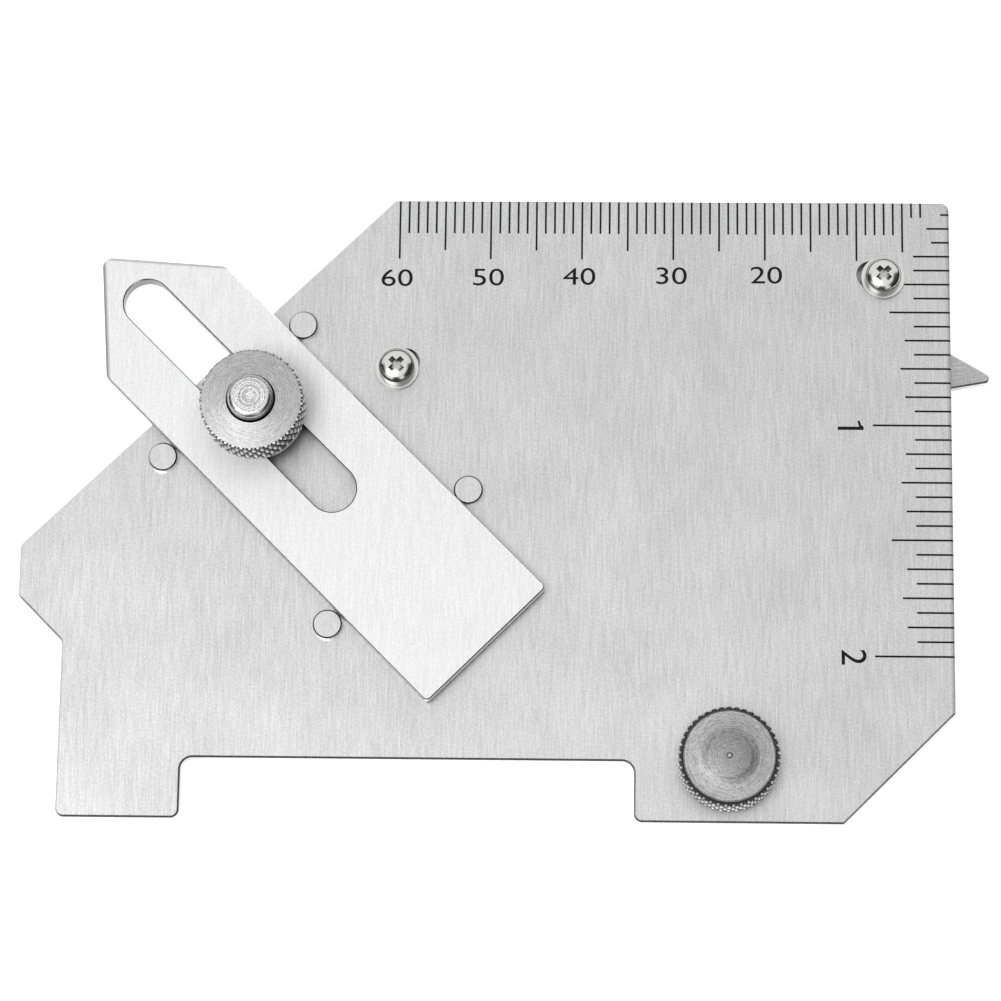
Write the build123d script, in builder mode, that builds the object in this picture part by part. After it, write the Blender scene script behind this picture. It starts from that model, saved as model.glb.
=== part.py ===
"""Weld gauge: a bridge plate with a diagonal throat slider and a pivoting multi-use ruler.

The plate lies flat in the XY plane with its engraved face up. The origin is the centre of
the plate's overall rectangle on its underside, +X runs along the long scale and +Y points
at the edge that carries it. Everything above the plate is clamped from that side, and the
ruler with its arc scale lies under it. Sizes are in millimetres.
"""
import os
from math import acos, atan2, cos, degrees, hypot, radians, sin, sqrt, tan

from build123d import *

os.makedirs("parts", exist_ok=True)

# Main plate: overall size and the outline's corners
plate_width = 100.5
plate_height = 68.6
plate_thickness = 2.0
top_cut_width = 39.8
top_cut_height = 39.1
left_flat_length = 5.6
left_foot_setback = 4.9
left_foot_width = 13.2
right_foot_width = 22.2
recess_depth = 6.5
base_corner_cut = 11.9
corner_radius = 0.9
cut_corner_radius = 0.35
recess_corner_radius = 1.3
plate_edge_break = 0.2

# Throat slider: a blade at 45 degrees with a slot for the stud
slider_angle = -45.0
slider_width = 17.78
slider_thickness = 2.0
slider_length = 60.4
slider_apex_angle = 82.0
slider_corner_radius = 1.0
slider_end_radius = 0.6
slider_edge_break = 0.12
slot_clearance = 0.1
slot_first_centre = 7.25
slot_travel = 29.23
slot_edge_break = 0.12
apex_to_stud = 24.39

# Clamp stud, washer and knurled nut on the slider
stud_from_left = 25.18
stud_from_top = 24.51
stud_radius = 2.5
stud_head_radius = 4.2
stud_head_height = 1.5
stud_head_edge = 0.35
stud_end_chamfer = 0.6
stud_stand_out = 1.25
clamp_washer_radius = 5.45
clamp_washer_thickness = 1.0
washer_bore_clearance = 0.15
nut_radius = 5.7
nut_height = 4.3
nut_edge_chamfer = 0.12
nut_crown = 0.4
nut_mouth_chamfer = 0.1
thread_clearance = 0.03

# Guide pins, riveted flush under the plate, two each side of the slider
pin_radius = 1.57
pin_stand_out = 0.8
pin_edge_break = 0.15
pin_rivet_radius = 1.95
pin_rivet_depth = 0.4
guide_clearance = 0.06
pins_before_stud = 3.64
pins_after_stud = 22.26

# Pivot: bush in the ruler, knurled screw from above
pivot_from_right = 24.1
pivot_from_bottom = 6.5
bush_radius = 3.0
bush_flange_radius = 5.5
bush_flange_height = 1.5
bush_edge_chamfer = 0.3
bush_clearance = 0.04
bush_short_of_face = 0.1
pivot_washer_radius = 4.4
pivot_washer_thickness = 0.5
pivot_thread_radius = 2.0
pivot_thread_short = 0.4
pivot_thread_chamfer = 0.4
knob_knurl_radius = 5.46
knob_knurl_height = 3.3
knob_knurl_chamfer = 0.35
knob_face_radius = 4.87
knob_neck_radius = 4.55
knob_neck_height = 0.8
knob_face_edge = 0.15
knob_dish_outer = 3.3
knob_dish_inner = 2.2
knob_dish_depth = 0.22
knob_nib_radius = 0.28
knob_nib_height = 0.3

# Multi-use ruler: a fan blade with a beak that reaches past the plate's right edge
ruler_thickness = 1.5
ruler_boss_radius = 6.2
ruler_tip_inset = 0.32
ruler_tip_angle = 55.3
beak_upper_slope = -30.2
beak_lower_slope = 9.8
beak_length = 18.5
beak_root_radius = 5.0
tip_radius = 0.55
ruler_index_angle = 95.0
ruler_corner_radius = 0.8
ruler_edge_break = 0.18

# Arc scale about the pivot, with a screw near the plate's corner and one beside the slider
arc_thickness = 1.5
arc_width = 7.1
arc_gap = 0.45
arc_screw_from_right = 7.29
arc_screw_from_top = 8.63
arc_screw_from_slider = 5.62
arc_end_margin = 4.4
arc_corner_radius = 1.0
arc_edge_break = 0.18
trim_slot_width = 3.1
trim_slot_length = 5.0
left_slot_shift = -0.25
right_slot_shift = 0.43

# Pan-head screws and their washers on the arc scale
screw_thread_radius = 1.0
screw_length = 4.0
screw_end_chamfer = 0.2
screw_head_radius = 1.92
screw_head_height = 1.35
screw_head_crown = 0.55
recess_arm_width = 0.57
recess_arm_length = 2.0
recess_floor_depth = 0.8
recess_turn = 45.0
plain_washer_radius = 2.35
plain_washer_thickness = 0.4
lock_washer_radius = 1.9
lock_washer_thickness = 0.5
lock_washer_split = 0.35
lock_washer_cut_turn = 20.0

# Levels and places that follow from the sizes above
plate_right = plate_width / 2
plate_top = plate_height / 2
plate_left = -plate_right
plate_base = -plate_top
foot_left = plate_left + left_foot_setback
recess_left = foot_left + left_foot_width
recess_right = plate_right - base_corner_cut - right_foot_width
recess_top = plate_base + recess_depth
left_flat_start = plate_top - top_cut_height
left_flat_end = left_flat_start - left_flat_length

slider_top = plate_thickness + slider_thickness
washer_top = slider_top + clamp_washer_thickness
nut_top = washer_top + nut_height
nut_rim = nut_top - nut_crown
stud_top = nut_top + stud_stand_out
stud_x = plate_left + stud_from_left
stud_y = plate_top - stud_from_top
slot_width = 2 * (stud_radius + slot_clearance)
nut_bore = stud_radius + thread_clearance
pin_top = plate_thickness + pin_stand_out

slide_x = cos(radians(slider_angle))
slide_y = sin(radians(slider_angle))
shoulder = slider_width / 2 / tan(radians(slider_apex_angle / 2))
pin_row = slider_width / 2 + guide_clearance + pin_radius

pivot_x = plate_right - pivot_from_right
pivot_y = plate_base + pivot_from_bottom
ruler_under = -ruler_thickness
bush_bottom = ruler_under - bush_flange_height
bush_top = plate_thickness - bush_short_of_face
bush_bore = pivot_thread_radius + thread_clearance
pivot_thread_end = bush_bottom + pivot_thread_short
knob_seat = plate_thickness + pivot_washer_thickness
knurl_top = knob_seat + knob_knurl_height
knob_top = knurl_top + knob_neck_height

# The right screw's place sets the circle of both screws, and with it the ruler's own arc
arc_screw_x = plate_right - arc_screw_from_right - pivot_x
arc_screw_y = plate_top - arc_screw_from_top - pivot_y
arc_screw_radius = hypot(arc_screw_x, arc_screw_y)
arc_right_angle = degrees(atan2(arc_screw_y, arc_screw_x))
slider_offset = (pivot_x - stud_x) * slide_y - (pivot_y - stud_y) * slide_x
left_screw_offset = slider_offset + slider_width / 2 + arc_screw_from_slider
arc_left_angle = slider_angle + 90 + degrees(acos(left_screw_offset / arc_screw_radius))
arc_inner_radius = arc_screw_radius - arc_width / 2
arc_outer_radius = arc_screw_radius + arc_width / 2
ruler_arc_radius = arc_inner_radius - arc_gap
ruler_tip_radius = ruler_arc_radius - ruler_tip_inset
screw_seat = plate_thickness + plain_washer_thickness + lock_washer_thickness


def around_pivot(radius, angle):
    """Local point on a circle about the pivot."""
    return (radius * cos(radians(angle)), radius * sin(radians(angle)))


def along_slider(distance, offset=0.0):
    """Plate point at a distance down the slider's axis from the stud, and aside from it."""
    return (
        stud_x + distance * slide_x - offset * slide_y,
        stud_y + distance * slide_y + offset * slide_x,
    )


def arc_angle(length):
    """Angle in degrees that an arc length takes on the arc scale's screw circle."""
    return degrees(length / arc_screw_radius)


def turning_plane(x, y):
    """Upright plane through a turned piece's axis, for its half profile."""
    return Plane(origin=(x, y, 0), x_dir=(1, 0, 0), z_dir=(0, -1, 0))


def top_outer_corner(profile):
    """Corner of a half profile at the rim of its upper end."""
    return profile.vertices().group_by(Axis.Y)[-1].sort_by(Axis.X)[-1]


def upright_axis(x, y):
    """Axis that a turned piece is revolved about."""
    return Axis((x, y, 0), (0, 0, 1))


def rim_edges(piece):
    """Edges round the outside of a flat piece's upper and lower face."""
    faces = piece.faces().sort_by(Axis.Z)
    return faces[-1].outer_wire().edges() + faces[0].outer_wire().edges()


def hole_edges(piece):
    """Edges round the one hole in a flat piece, on its upper and lower face."""
    faces = piece.faces().sort_by(Axis.Z)
    return faces[-1].inner_wires()[0].edges() + faces[0].inner_wires()[0].edges()


# The plate's corners in order round its outline, each with its radius
plate_corners = [
    ((plate_right, plate_top), corner_radius),
    ((plate_left + top_cut_width, plate_top), corner_radius),
    ((plate_left, left_flat_start), corner_radius),
    ((plate_left, left_flat_end), corner_radius),
    ((foot_left, left_flat_end - left_foot_setback), corner_radius),
    ((foot_left, plate_base), corner_radius),
    ((recess_left, plate_base), corner_radius),
    ((recess_left, recess_top), recess_corner_radius),
    ((recess_right, recess_top), recess_corner_radius),
    ((recess_right, plate_base), corner_radius),
    ((plate_right - base_corner_cut, plate_base), cut_corner_radius),
    ((plate_right, plate_base + base_corner_cut), cut_corner_radius),
]

pivot_plane = Plane(origin=(pivot_x, pivot_y, 0))
slider_plane = Plane(
    origin=(*along_slider(-apex_to_stud), plate_thickness),
    x_dir=(slide_x, slide_y, 0),
    z_dir=(0, 0, 1),
)
beak_tip = around_pivot(ruler_tip_radius, ruler_tip_angle)
beak_root = (
    beak_tip[0] - beak_length * cos(radians(beak_lower_slope)),
    beak_tip[1] - beak_length * sin(radians(beak_lower_slope)),
)
# The beak's upper edge runs back from the tip to the ruler's outer circle
tip_inset = beak_tip[0] * cos(radians(beak_upper_slope)) + beak_tip[1] * sin(radians(beak_upper_slope))
beak_upper_length = tip_inset + sqrt(tip_inset**2 + ruler_arc_radius**2 - ruler_tip_radius**2)
beak_heel = (
    beak_tip[0] - beak_upper_length * cos(radians(beak_upper_slope)),
    beak_tip[1] - beak_upper_length * sin(radians(beak_upper_slope)),
)
beak_heel_angle = degrees(atan2(beak_heel[1], beak_heel[0]))
pin_places = [
    along_slider(distance, offset)
    for distance in (-pins_before_stud, pins_after_stud)
    for offset in (pin_row, -pin_row)
]
arc_start = arc_right_angle - arc_angle(arc_end_margin)
arc_span = arc_left_angle + arc_angle(arc_end_margin) - arc_start
trim_half_angle = arc_angle(trim_slot_length - trim_slot_width) / 2
trim_slot_lines = [
    CenterArc((0, 0), arc_screw_radius, angle + arc_angle(shift) - trim_half_angle, 2 * trim_half_angle)
    for angle, shift in ((arc_left_angle, left_slot_shift), (arc_right_angle, right_slot_shift))
]
arc_screws = (("left", arc_left_angle), ("right", arc_right_angle))

# Main plate, with the bridge recess, the cut corners and a hole for each thing it carries
with BuildPart() as main_plate:
    with BuildSketch() as outline:
        with BuildLine():
            Polyline(*[place for place, radius in plate_corners], close=True)
        make_face()
        for place, radius in plate_corners:
            fillet(outline.vertices().sort_by_distance(place)[0], radius)
    extrude(amount=plate_thickness)
    chamfer(rim_edges(main_plate), plate_edge_break)
    with Locations((stud_x, stud_y, plate_thickness)):
        Hole(stud_radius)
    with Locations((pivot_x, pivot_y, plate_thickness)):
        Hole(bush_radius + bush_clearance)
    with Locations(pin_places):
        Hole(pin_radius)
        Cone(
            pin_rivet_radius,
            pin_radius,
            pin_rivet_depth,
            align=(Align.CENTER, Align.CENTER, Align.MIN),
            mode=Mode.SUBTRACT,
        )
    with BuildSketch(pivot_plane):
        for middle_line in trim_slot_lines:
            SlotArc(middle_line, trim_slot_width)
    extrude(amount=plate_thickness, mode=Mode.SUBTRACT)
main_plate.part.label = "main_plate"
export_step(main_plate.part, "parts/main_plate.step")

# Guide pins: plain pins riveted over flush in a countersink under the plate
for number, (x, y) in enumerate(pin_places, start=1):
    with BuildPart() as guide_pin:
        with BuildSketch(turning_plane(x, y)) as pin_profile:
            with BuildLine():
                Polyline(
                    (0, 0),
                    (pin_rivet_radius, 0),
                    (pin_radius, pin_rivet_depth),
                    (pin_radius, pin_top),
                    (0, pin_top),
                    close=True,
                )
            make_face()
            chamfer(top_outer_corner(pin_profile), pin_edge_break)
        revolve(axis=upright_axis(x, y))
    guide_pin.part.label = f"guide_pin_{number}"
    export_step(guide_pin.part, f"parts/guide_pin_{number}.step")

# Clamp stud: a riveted head under the plate and a plain shank for its thread
with BuildPart() as clamp_stud:
    with BuildSketch(turning_plane(stud_x, stud_y)):
        with BuildLine():
            Polyline(
                (0, -stud_head_height),
                (stud_head_radius - stud_head_edge, -stud_head_height),
                (stud_head_radius, stud_head_edge - stud_head_height),
                (stud_head_radius, 0),
                (stud_radius, 0),
                (stud_radius, stud_top - stud_end_chamfer),
                (stud_radius - stud_end_chamfer, stud_top),
                (0, stud_top),
                close=True,
            )
        make_face()
    revolve(axis=upright_axis(stud_x, stud_y))
clamp_stud.part.label = "clamp_stud"
export_step(clamp_stud.part, "parts/clamp_stud.step")

# Throat slider: drawn along its own axis from the apex, then laid on the plate at 45 degrees
with BuildPart() as throat_slider:
    with BuildSketch(slider_plane) as blade:
        with BuildLine():
            Polyline(
                (0, 0),
                (shoulder, slider_width / 2),
                (slider_length, slider_width / 2),
                (slider_length, -slider_width / 2),
                (shoulder, -slider_width / 2),
                close=True,
            )
        make_face()
        fillet(blade.vertices().group_by(Axis.X)[-1], slider_end_radius)
        fillet(blade.vertices().sort_by_distance((0, 0))[:3], slider_corner_radius)
    extrude(amount=slider_thickness)
    chamfer(rim_edges(throat_slider), slider_edge_break)
    with BuildSketch(slider_plane):
        with Locations((slot_first_centre + slot_travel / 2, 0)):
            SlotCenterToCenter(slot_travel, slot_width)
    extrude(amount=slider_thickness, mode=Mode.SUBTRACT)
    chamfer(hole_edges(throat_slider), slot_edge_break)
throat_slider.part.label = "throat_slider"
export_step(throat_slider.part, "parts/throat_slider.step")

# Clamp washer and knurled clamp nut on the stud
with BuildPart() as clamp_washer:
    with BuildSketch(Plane.XY.offset(slider_top)):
        with Locations((stud_x, stud_y)):
            Circle(clamp_washer_radius)
            Circle(stud_radius + washer_bore_clearance, mode=Mode.SUBTRACT)
    extrude(amount=clamp_washer_thickness)
clamp_washer.part.label = "clamp_washer"
export_step(clamp_washer.part, "parts/clamp_washer.step")

with BuildPart() as clamp_nut:
    with BuildSketch(turning_plane(stud_x, stud_y)):
        with BuildLine():
            Polyline(
                (nut_bore + nut_mouth_chamfer, washer_top),
                (nut_radius - nut_edge_chamfer, washer_top),
                (nut_radius, washer_top + nut_edge_chamfer),
                (nut_radius, nut_rim - nut_edge_chamfer),
                (nut_radius - nut_edge_chamfer, nut_rim),
                (nut_bore + nut_mouth_chamfer, nut_top),
                (nut_bore, nut_top - nut_mouth_chamfer),
                (nut_bore, washer_top + nut_mouth_chamfer),
                close=True,
            )
        make_face()
    revolve(axis=upright_axis(stud_x, stud_y))
clamp_nut.part.label = "clamp_nut"
export_step(clamp_nut.part, "parts/clamp_nut.step")

# Multi-use ruler: a fan blade about the pivot with its beak past the plate's right edge
with BuildPart() as multi_use_ruler:
    with BuildSketch(pivot_plane.offset(ruler_under)) as fan:
        with BuildLine():
            Line(beak_root, beak_tip)
            Line(beak_tip, beak_heel)
            CenterArc((0, 0), ruler_arc_radius, beak_heel_angle, ruler_index_angle - beak_heel_angle)
            Line(around_pivot(ruler_arc_radius, ruler_index_angle), (-ruler_boss_radius, 0))
            Line((-ruler_boss_radius, 0), (ruler_boss_radius, 0))
            Line((ruler_boss_radius, 0), beak_root)
        make_face()
        Circle(ruler_boss_radius)
        fillet(fan.vertices().sort_by_distance(beak_tip)[0], tip_radius)
        fillet(fan.vertices().sort_by_distance(beak_root)[0], beak_root_radius)
        index_corner = around_pivot(ruler_arc_radius, ruler_index_angle)
        fillet(fan.vertices().sort_by_distance(index_corner)[0], ruler_corner_radius)
    extrude(amount=ruler_thickness)
    chamfer(rim_edges(multi_use_ruler), ruler_edge_break)
    with Locations((pivot_x, pivot_y, 0)):
        Hole(bush_radius)
multi_use_ruler.part.label = "multi_use_ruler"
export_step(multi_use_ruler.part, "parts/multi_use_ruler.step")

# Pivot bush: pressed into the ruler, turning in the plate, threaded for the knurled screw
with BuildPart() as pivot_bush:
    with BuildSketch(turning_plane(pivot_x, pivot_y)):
        with BuildLine():
            Polyline(
                (bush_bore, bush_bottom),
                (bush_flange_radius - bush_edge_chamfer, bush_bottom),
                (bush_flange_radius, bush_bottom + bush_edge_chamfer),
                (bush_flange_radius, ruler_under),
                (bush_radius, ruler_under),
                (bush_radius, bush_top),
                (bush_bore, bush_top),
                close=True,
            )
        make_face()
    revolve(axis=upright_axis(pivot_x, pivot_y))
pivot_bush.part.label = "pivot_bush"
export_step(pivot_bush.part, "parts/pivot_bush.step")

# Pivot washer between the plate and the knurled screw's head
with BuildPart() as pivot_washer:
    with BuildSketch(Plane.XY.offset(plate_thickness)):
        with Locations((pivot_x, pivot_y)):
            Circle(pivot_washer_radius)
            Circle(pivot_thread_radius + washer_bore_clearance, mode=Mode.SUBTRACT)
    extrude(amount=pivot_washer_thickness)
pivot_washer.part.label = "pivot_washer"
export_step(pivot_washer.part, "parts/pivot_washer.step")

# Knurled pivot screw: shank, knurled band, a neck and a dished face with its turning nib
with BuildPart() as pivot_screw:
    with BuildSketch(turning_plane(pivot_x, pivot_y)):
        with BuildLine():
            Polyline(
                (0, pivot_thread_end),
                (pivot_thread_radius - pivot_thread_chamfer, pivot_thread_end),
                (pivot_thread_radius, pivot_thread_end + pivot_thread_chamfer),
                (pivot_thread_radius, knob_seat),
                (knob_knurl_radius - knob_knurl_chamfer, knob_seat),
                (knob_knurl_radius, knob_seat + knob_knurl_chamfer),
                (knob_knurl_radius, knurl_top - knob_knurl_chamfer),
                (knob_knurl_radius - knob_knurl_chamfer, knurl_top),
                (knob_neck_radius, knurl_top),
                (knob_face_radius, knob_top - 2 * knob_face_edge),
                (knob_face_radius, knob_top - knob_face_edge),
                (knob_face_radius - knob_face_edge, knob_top),
                (knob_dish_outer, knob_top),
                (knob_dish_inner, knob_top - knob_dish_depth),
                (knob_nib_radius, knob_top - knob_dish_depth),
                (0, knob_top - knob_dish_depth + knob_nib_height),
                close=True,
            )
        make_face()
    revolve(axis=upright_axis(pivot_x, pivot_y))
pivot_screw.part.label = "pivot_screw"
export_step(pivot_screw.part, "parts/pivot_screw.step")

# Arc scale: a curved strip under the plate, tapped for the two screws that trim and hold it
with BuildPart() as arc_scale:
    with BuildSketch(pivot_plane.offset(-arc_thickness)) as strip:
        with BuildLine():
            CenterArc((0, 0), arc_outer_radius, arc_start, arc_span)
            CenterArc((0, 0), arc_inner_radius, arc_start, arc_span)
            Line(around_pivot(arc_inner_radius, arc_start), around_pivot(arc_outer_radius, arc_start))
            Line(
                around_pivot(arc_inner_radius, arc_start + arc_span),
                around_pivot(arc_outer_radius, arc_start + arc_span),
            )
        make_face()
        fillet(strip.vertices(), arc_corner_radius)
    extrude(amount=arc_thickness)
    chamfer(rim_edges(arc_scale), arc_edge_break)
    with BuildSketch(pivot_plane.offset(-arc_thickness)):
        with Locations([around_pivot(arc_screw_radius, angle) for side, angle in arc_screws]):
            Circle(screw_thread_radius)
    extrude(amount=arc_thickness, mode=Mode.SUBTRACT)
arc_scale.part.label = "arc_scale"
export_step(arc_scale.part, "parts/arc_scale.step")

# Screws of the arc scale, each with a plain washer on the plate and a split lock washer
for side, angle in arc_screws:
    screw_x, screw_y = (a + b for a, b in zip((pivot_x, pivot_y), around_pivot(arc_screw_radius, angle)))

    with BuildPart() as arc_washer:
        with BuildSketch(Plane.XY.offset(plate_thickness)):
            with Locations((screw_x, screw_y)):
                Circle(plain_washer_radius)
                Circle(screw_thread_radius + washer_bore_clearance, mode=Mode.SUBTRACT)
        extrude(amount=plain_washer_thickness)
    arc_washer.part.label = f"arc_washer_{side}"
    export_step(arc_washer.part, f"parts/arc_washer_{side}.step")

    with BuildPart() as lock_washer:
        with BuildSketch(Plane.XY.offset(plate_thickness + plain_washer_thickness)):
            with Locations(Location((screw_x, screw_y, 0), (0, 0, lock_washer_cut_turn))):
                Circle(lock_washer_radius)
                Circle(screw_thread_radius + washer_bore_clearance, mode=Mode.SUBTRACT)
                Rectangle(
                    lock_washer_radius,
                    lock_washer_split,
                    align=(Align.MIN, Align.CENTER),
                    mode=Mode.SUBTRACT,
                )
        extrude(amount=lock_washer_thickness)
    lock_washer.part.label = f"arc_lock_washer_{side}"
    export_step(lock_washer.part, f"parts/arc_lock_washer_{side}.step")

    with BuildPart() as arc_screw:
        with BuildSketch(turning_plane(screw_x, screw_y)) as screw_profile:
            with BuildLine():
                Polyline(
                    (0, screw_seat - screw_length),
                    (screw_thread_radius - screw_end_chamfer, screw_seat - screw_length),
                    (screw_thread_radius, screw_seat - screw_length + screw_end_chamfer),
                    (screw_thread_radius, screw_seat),
                    (screw_head_radius, screw_seat),
                    (screw_head_radius, screw_seat + screw_head_height),
                    (0, screw_seat + screw_head_height),
                    close=True,
                )
            make_face()
            chamfer(top_outer_corner(screw_profile), screw_head_crown)
        revolve(axis=upright_axis(screw_x, screw_y))
        with BuildSketch(Plane.XY.offset(screw_seat + screw_head_height)):
            with Locations(Location((screw_x, screw_y, 0), (0, 0, recess_turn))):
                Rectangle(recess_arm_length, recess_arm_width)
                Rectangle(recess_arm_width, recess_arm_length)
        extrude(amount=-recess_floor_depth, mode=Mode.SUBTRACT)
    arc_screw.part.label = f"arc_screw_{side}"
    export_step(arc_screw.part, f"parts/arc_screw_{side}.step")
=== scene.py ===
"""Weld gauge: finishes, engraved scales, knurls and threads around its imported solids.

All sizes are in metres in the part's own frame: the plate's underside is z = 0, +X runs along
the millimetre scale, +Y points at the edge that carries it, and the engraved face is up.
"""
from functools import partial
from math import ceil, cos, pi, radians, sin, tau

import bpy
from bpy.props import (
    FloatProperty, FloatVectorProperty, IntProperty, PointerProperty, StringProperty)
from bpy.types import Node, NodeSocket, Operator, Panel, PropertyGroup
from mathutils import Matrix, Vector


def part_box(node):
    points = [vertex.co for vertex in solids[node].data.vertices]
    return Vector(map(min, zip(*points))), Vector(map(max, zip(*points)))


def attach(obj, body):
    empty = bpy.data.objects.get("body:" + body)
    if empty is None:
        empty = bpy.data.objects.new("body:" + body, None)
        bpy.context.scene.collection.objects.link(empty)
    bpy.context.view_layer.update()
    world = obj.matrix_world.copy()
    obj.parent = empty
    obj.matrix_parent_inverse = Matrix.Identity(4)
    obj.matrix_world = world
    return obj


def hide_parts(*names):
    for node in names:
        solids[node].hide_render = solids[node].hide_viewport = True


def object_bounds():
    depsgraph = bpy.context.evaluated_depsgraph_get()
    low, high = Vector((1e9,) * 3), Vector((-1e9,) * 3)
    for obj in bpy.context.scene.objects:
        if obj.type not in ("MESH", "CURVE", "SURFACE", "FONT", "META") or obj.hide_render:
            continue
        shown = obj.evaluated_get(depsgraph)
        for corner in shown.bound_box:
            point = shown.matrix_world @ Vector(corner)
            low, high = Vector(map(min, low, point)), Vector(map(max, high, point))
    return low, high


bl_info = {
    "name": "Weld Gauge",
    "version": (1, 0, 0),
    "blender": (4, 5, 0),
    "location": "View3D > Sidebar > Weld Gauge",
    "description": "Dresses a bridge weld gauge with its finishes, scales, knurls and threads",
    "category": "Object",
}

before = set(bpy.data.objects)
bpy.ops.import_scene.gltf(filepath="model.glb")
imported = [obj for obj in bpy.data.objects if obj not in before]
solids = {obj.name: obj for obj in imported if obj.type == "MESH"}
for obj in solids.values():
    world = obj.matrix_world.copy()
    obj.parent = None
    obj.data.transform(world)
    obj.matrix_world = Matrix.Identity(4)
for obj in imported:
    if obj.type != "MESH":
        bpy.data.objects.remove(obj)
solid_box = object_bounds()

mm = 0.001
inch = 25.4 * mm

plate_low, plate_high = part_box("main_plate")
floor_height = solid_box[0].z

# Most of a noise texture's values lie between these two
noise_span = {"From Min": 0.35, "From Max": 0.65}
# How upright a face's normal is, from an upright side to a broken edge, and on to a level face
edge_span = {"From Min": 0.3, "From Max": 0.6}
level_span = {"From Min": 0.8, "From Max": 0.95}


def middle_of(node):
    """Place of a turned node's upright axis, at height zero."""
    low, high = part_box(node)
    return Vector(((low.x + high.x) / 2, (low.y + high.y) / 2, 0))


stud_axis = middle_of("clamp_stud")
pivot_axis = middle_of("pivot_bush")
screw_axes = {side: middle_of(f"arc_screw_{side}") for side in ("left", "right")}


class GaugeMarks(PropertyGroup):
    """Sizes of the engraved scales."""

    line_width: FloatProperty(
        name="Line width", description="Width of a scale mark",
        default=0.21 * mm, subtype="DISTANCE")
    ink_height: FloatProperty(
        name="Ink height", description="How far the fill's upper and lower faces lie apart",
        default=0.012 * mm, subtype="DISTANCE")
    edge_break: FloatProperty(
        name="Edge break", description="Chamfer that the marks run over at the plate's edge",
        default=0.2 * mm, subtype="DISTANCE")
    millimetre_digits: FloatProperty(
        name="Millimetre digits", description="Height of the digits on the long scale",
        default=2.02 * mm, subtype="DISTANCE")
    inch_digits: FloatProperty(
        name="Inch digits", description="Height of the digits on the short scale",
        default=2.8 * mm, subtype="DISTANCE")
    digit_breadth: FloatProperty(
        name="Digit breadth", description="Widening of the long scale's digits", default=1.33)


class GaugeTurning(PropertyGroup):
    """Sizes of the knurls and threads."""

    nut_teeth: IntProperty(
        name="Nut teeth", description="Knurl teeth round the clamp nut", default=38)
    knob_teeth: IntProperty(
        name="Knob teeth", description="Knurl teeth round the pivot screw", default=40)
    knurl_depth: FloatProperty(
        name="Knurl depth", description="Depth of the diamond knurl",
        default=0.34 * mm, subtype="DISTANCE")
    knurl_slope: FloatProperty(
        name="Knurl slope", description="Height of a diamond over its width", default=2.3)
    stud_pitch: FloatProperty(
        name="Stud pitch", description="Thread pitch of the clamp stud",
        default=0.8 * mm, subtype="DISTANCE")
    pivot_pitch: FloatProperty(
        name="Pivot pitch", description="Thread pitch of the pivot screw",
        default=0.7 * mm, subtype="DISTANCE")
    screw_pitch: FloatProperty(
        name="Screw pitch", description="Thread pitch of the small screws",
        default=0.4 * mm, subtype="DISTANCE")


class GaugeFinishes(PropertyGroup):
    """Colours of the finishes, as sRGB hex values."""

    plate: StringProperty(name="Plate", description="Satin stainless sheet", default="#C7C7C7")
    pins: StringProperty(name="Pins", description="Ground guide pins", default="#CBCBCB")
    ruler: StringProperty(name="Ruler", description="Darker stainless sheet", default="#AFAFAF")
    slider: StringProperty(name="Slider", description="Paler stainless sheet", default="#E6E6E6")
    turned: StringProperty(
        name="Turned steel", description="Turned bright steel", default="#B2B2B2")
    stud: StringProperty(name="Stud", description="Cut end of the clamp stud", default="#CECECE")
    knob: StringProperty(name="Knob", description="Darker turned steel", default="#A8A8A8")
    nickel: StringProperty(name="Nickel", description="Bright nickel plate", default="#D8D8D7")
    recess: StringProperty(
        name="Recess", description="Dulled nickel in the screws' recesses", default="#BCBCBA")
    ink: StringProperty(name="Ink", description="Black fill of the engraving", default="#0C0C0D")


class GaugeStudio(PropertyGroup):
    """Camera, lamp and floor."""

    camera_place: FloatVectorProperty(
        name="Camera place", description="Where the camera stands",
        default=(14.18 * mm, -88.93 * mm, 388.01 * mm), subtype="TRANSLATION")
    camera_aim: FloatVectorProperty(
        name="Camera aim", description="Point of the plate's upper face at the picture's centre",
        default=(1.58 * mm, 0.48 * mm, 2.0 * mm), subtype="TRANSLATION")
    camera_roll: FloatProperty(
        name="Camera roll", description="Turn of the camera about its view",
        default=radians(0.83), subtype="ANGLE")
    camera_lens: FloatProperty(
        name="Lens", description="Focal length on a 36 mm sensor", default=132.06, unit="CAMERA")
    lamp_power: FloatProperty(
        name="Lamp power", description="Power of the overhead soft box", default=2.9,
        unit="POWER")
    daylight: FloatProperty(
        name="Daylight", description="Strength of the white surround on matt surfaces",
        default=0.7)
    floor: StringProperty(name="Floor", description="White paper floor", default="#F4F4F4")
    card: StringProperty(name="Card", description="Dark card round the table", default="#3A3A3A")


class GaugeSettings(PropertyGroup):
    """All settings of the dressed gauge."""

    marks: PointerProperty(type=GaugeMarks)
    turning: PointerProperty(type=GaugeTurning)
    finishes: PointerProperty(type=GaugeFinishes)
    studio: PointerProperty(type=GaugeStudio)


def linear(code):
    """Linear RGBA colour of an sRGB hex value."""
    parts = [int(code[start:start + 2], 16) / 255 for start in (1, 3, 5)]
    return (*[part / 12.92 if part <= 0.04045 else ((part + 0.055) / 1.055) ** 2.4
              for part in parts], 1)


def polar(radius, turn, height=0):
    """Point at a radius, a turn about the upright axis, and a height."""
    return Vector((radius * cos(turn), radius * sin(turn), height))


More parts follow.
